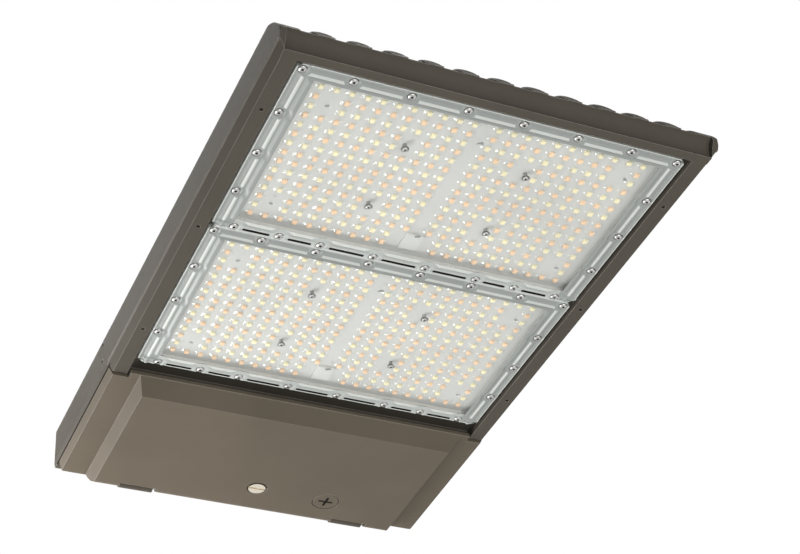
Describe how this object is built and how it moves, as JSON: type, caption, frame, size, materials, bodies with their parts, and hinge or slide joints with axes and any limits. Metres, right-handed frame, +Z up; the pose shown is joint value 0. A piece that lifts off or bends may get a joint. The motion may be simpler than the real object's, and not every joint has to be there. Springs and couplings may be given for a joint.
{
  "type": "shoebox area light",
  "caption": "Outdoor shoebox area light: finned die-cast housing with two screwed lens modules and a hinged gear door.",
  "frame": {"origin": "centre of the two arm bolt holes, in the rear mounting face", "axes": "+Z up, light shines down along -Z; +Y out of the rear mounting face towards the pole; +X across"},
  "size_m": [0.3496, 0.5785, 0.0579],
  "materials": {
    "bronze_paint": "die-cast, with a fine textured dark bronze powder coat",
    "steel": "plain stainless steel",
    "nickel": "nickel plated, lightly brushed",
    "spring_steel": "dark spring steel",
    "silicone": "matt silicone",
    "clear_plastic": "clear moulded polycarbonate",
    "board": "white coated circuit board",
    "warm_source": "warm phosphor",
    "cool_source": "cool phosphor",
    "white_plastic": "moulded white plastic",
    "grey_lead": "lead jacket",
    "driver_case": "light grey coated case, potted",
    "black_plastic": "moulded black plastic",
    "brass_screw": "plain brass",
    "green_board": "green circuit board",
    "black_lead": "lead jacket",
    "violet_lead": "lead jacket",
    "green_screw": "green dyed steel"
  },
  "bodies": {
    "fixture": {"housing": "bronze_paint", "lens_front": "clear_plastic", "lens_rear": "clear_plastic", "lens_gasket_front": "silicone", "lens_gasket_rear": "silicone", "led_board_front": "board", "led_board_rear": "board", "leds_warm_front": "warm_source", "leds_cool_front": "cool_source", "leds_warm_rear": "warm_source", "leds_cool_rear": "cool_source", "lens_screws_front": "steel", "lens_screws_rear": "steel", "board_connector_front": "white_plastic", "board_connector_rear": "white_plastic", "led_harness_front": "grey_lead", "led_harness_rear": "grey_lead", "driver": "driver_case", "driver_screws": "steel", "surge_protector": "black_plastic", "surge_screw": "steel", "terminal_block": "white_plastic", "terminal_screws": "brass_screw", "selector_board": "green_board", "selector_screws": "steel", "input_leads": "black_lead", "line_leads": "black_lead", "surge_leads": "grey_lead", "control_leads": "violet_lead", "wireway_grommet": "silicone", "wire_entry_grommet": "silicone", "vent": "black_plastic", "ground_screw": "green_screw"},
    "door": {"door": "bronze_paint", "hinge_pin_left": "steel", "hinge_pin_right": "steel", "door_gasket": "silicone", "port_plug": "bronze_paint", "port_plug_seal": "silicone"},
    "door_screw": {"door_screw": "nickel", "door_screw_retainer": "spring_steel"},
    "wattage_slider": {"wattage_slider": "white_plastic"},
    "colour_slider": {"colour_slider": "white_plastic"}
  },
  "joints": [
    {"name": "door_swing", "type": "hinge", "parent": "fixture", "child": "door", "pos_m": [0, -0.0185, -0.023], "axis": [1, 0, 0], "range_deg": [0, 95]},
    {"name": "door_screw_turn", "type": "hinge", "parent": "door", "child": "door_screw", "pos_m": [0, -0.053, -0.026], "axis": [0, 0, 1], "continuous": true},
    {"name": "wattage_slide", "type": "slide", "parent": "fixture", "child": "wattage_slider", "axis": [0, 1, 0], "range_m": [0, 0.005]},
    {"name": "colour_slide", "type": "slide", "parent": "fixture", "child": "colour_slider", "axis": [0, 1, 0], "range_m": [0, 0.005]}
  ]
}
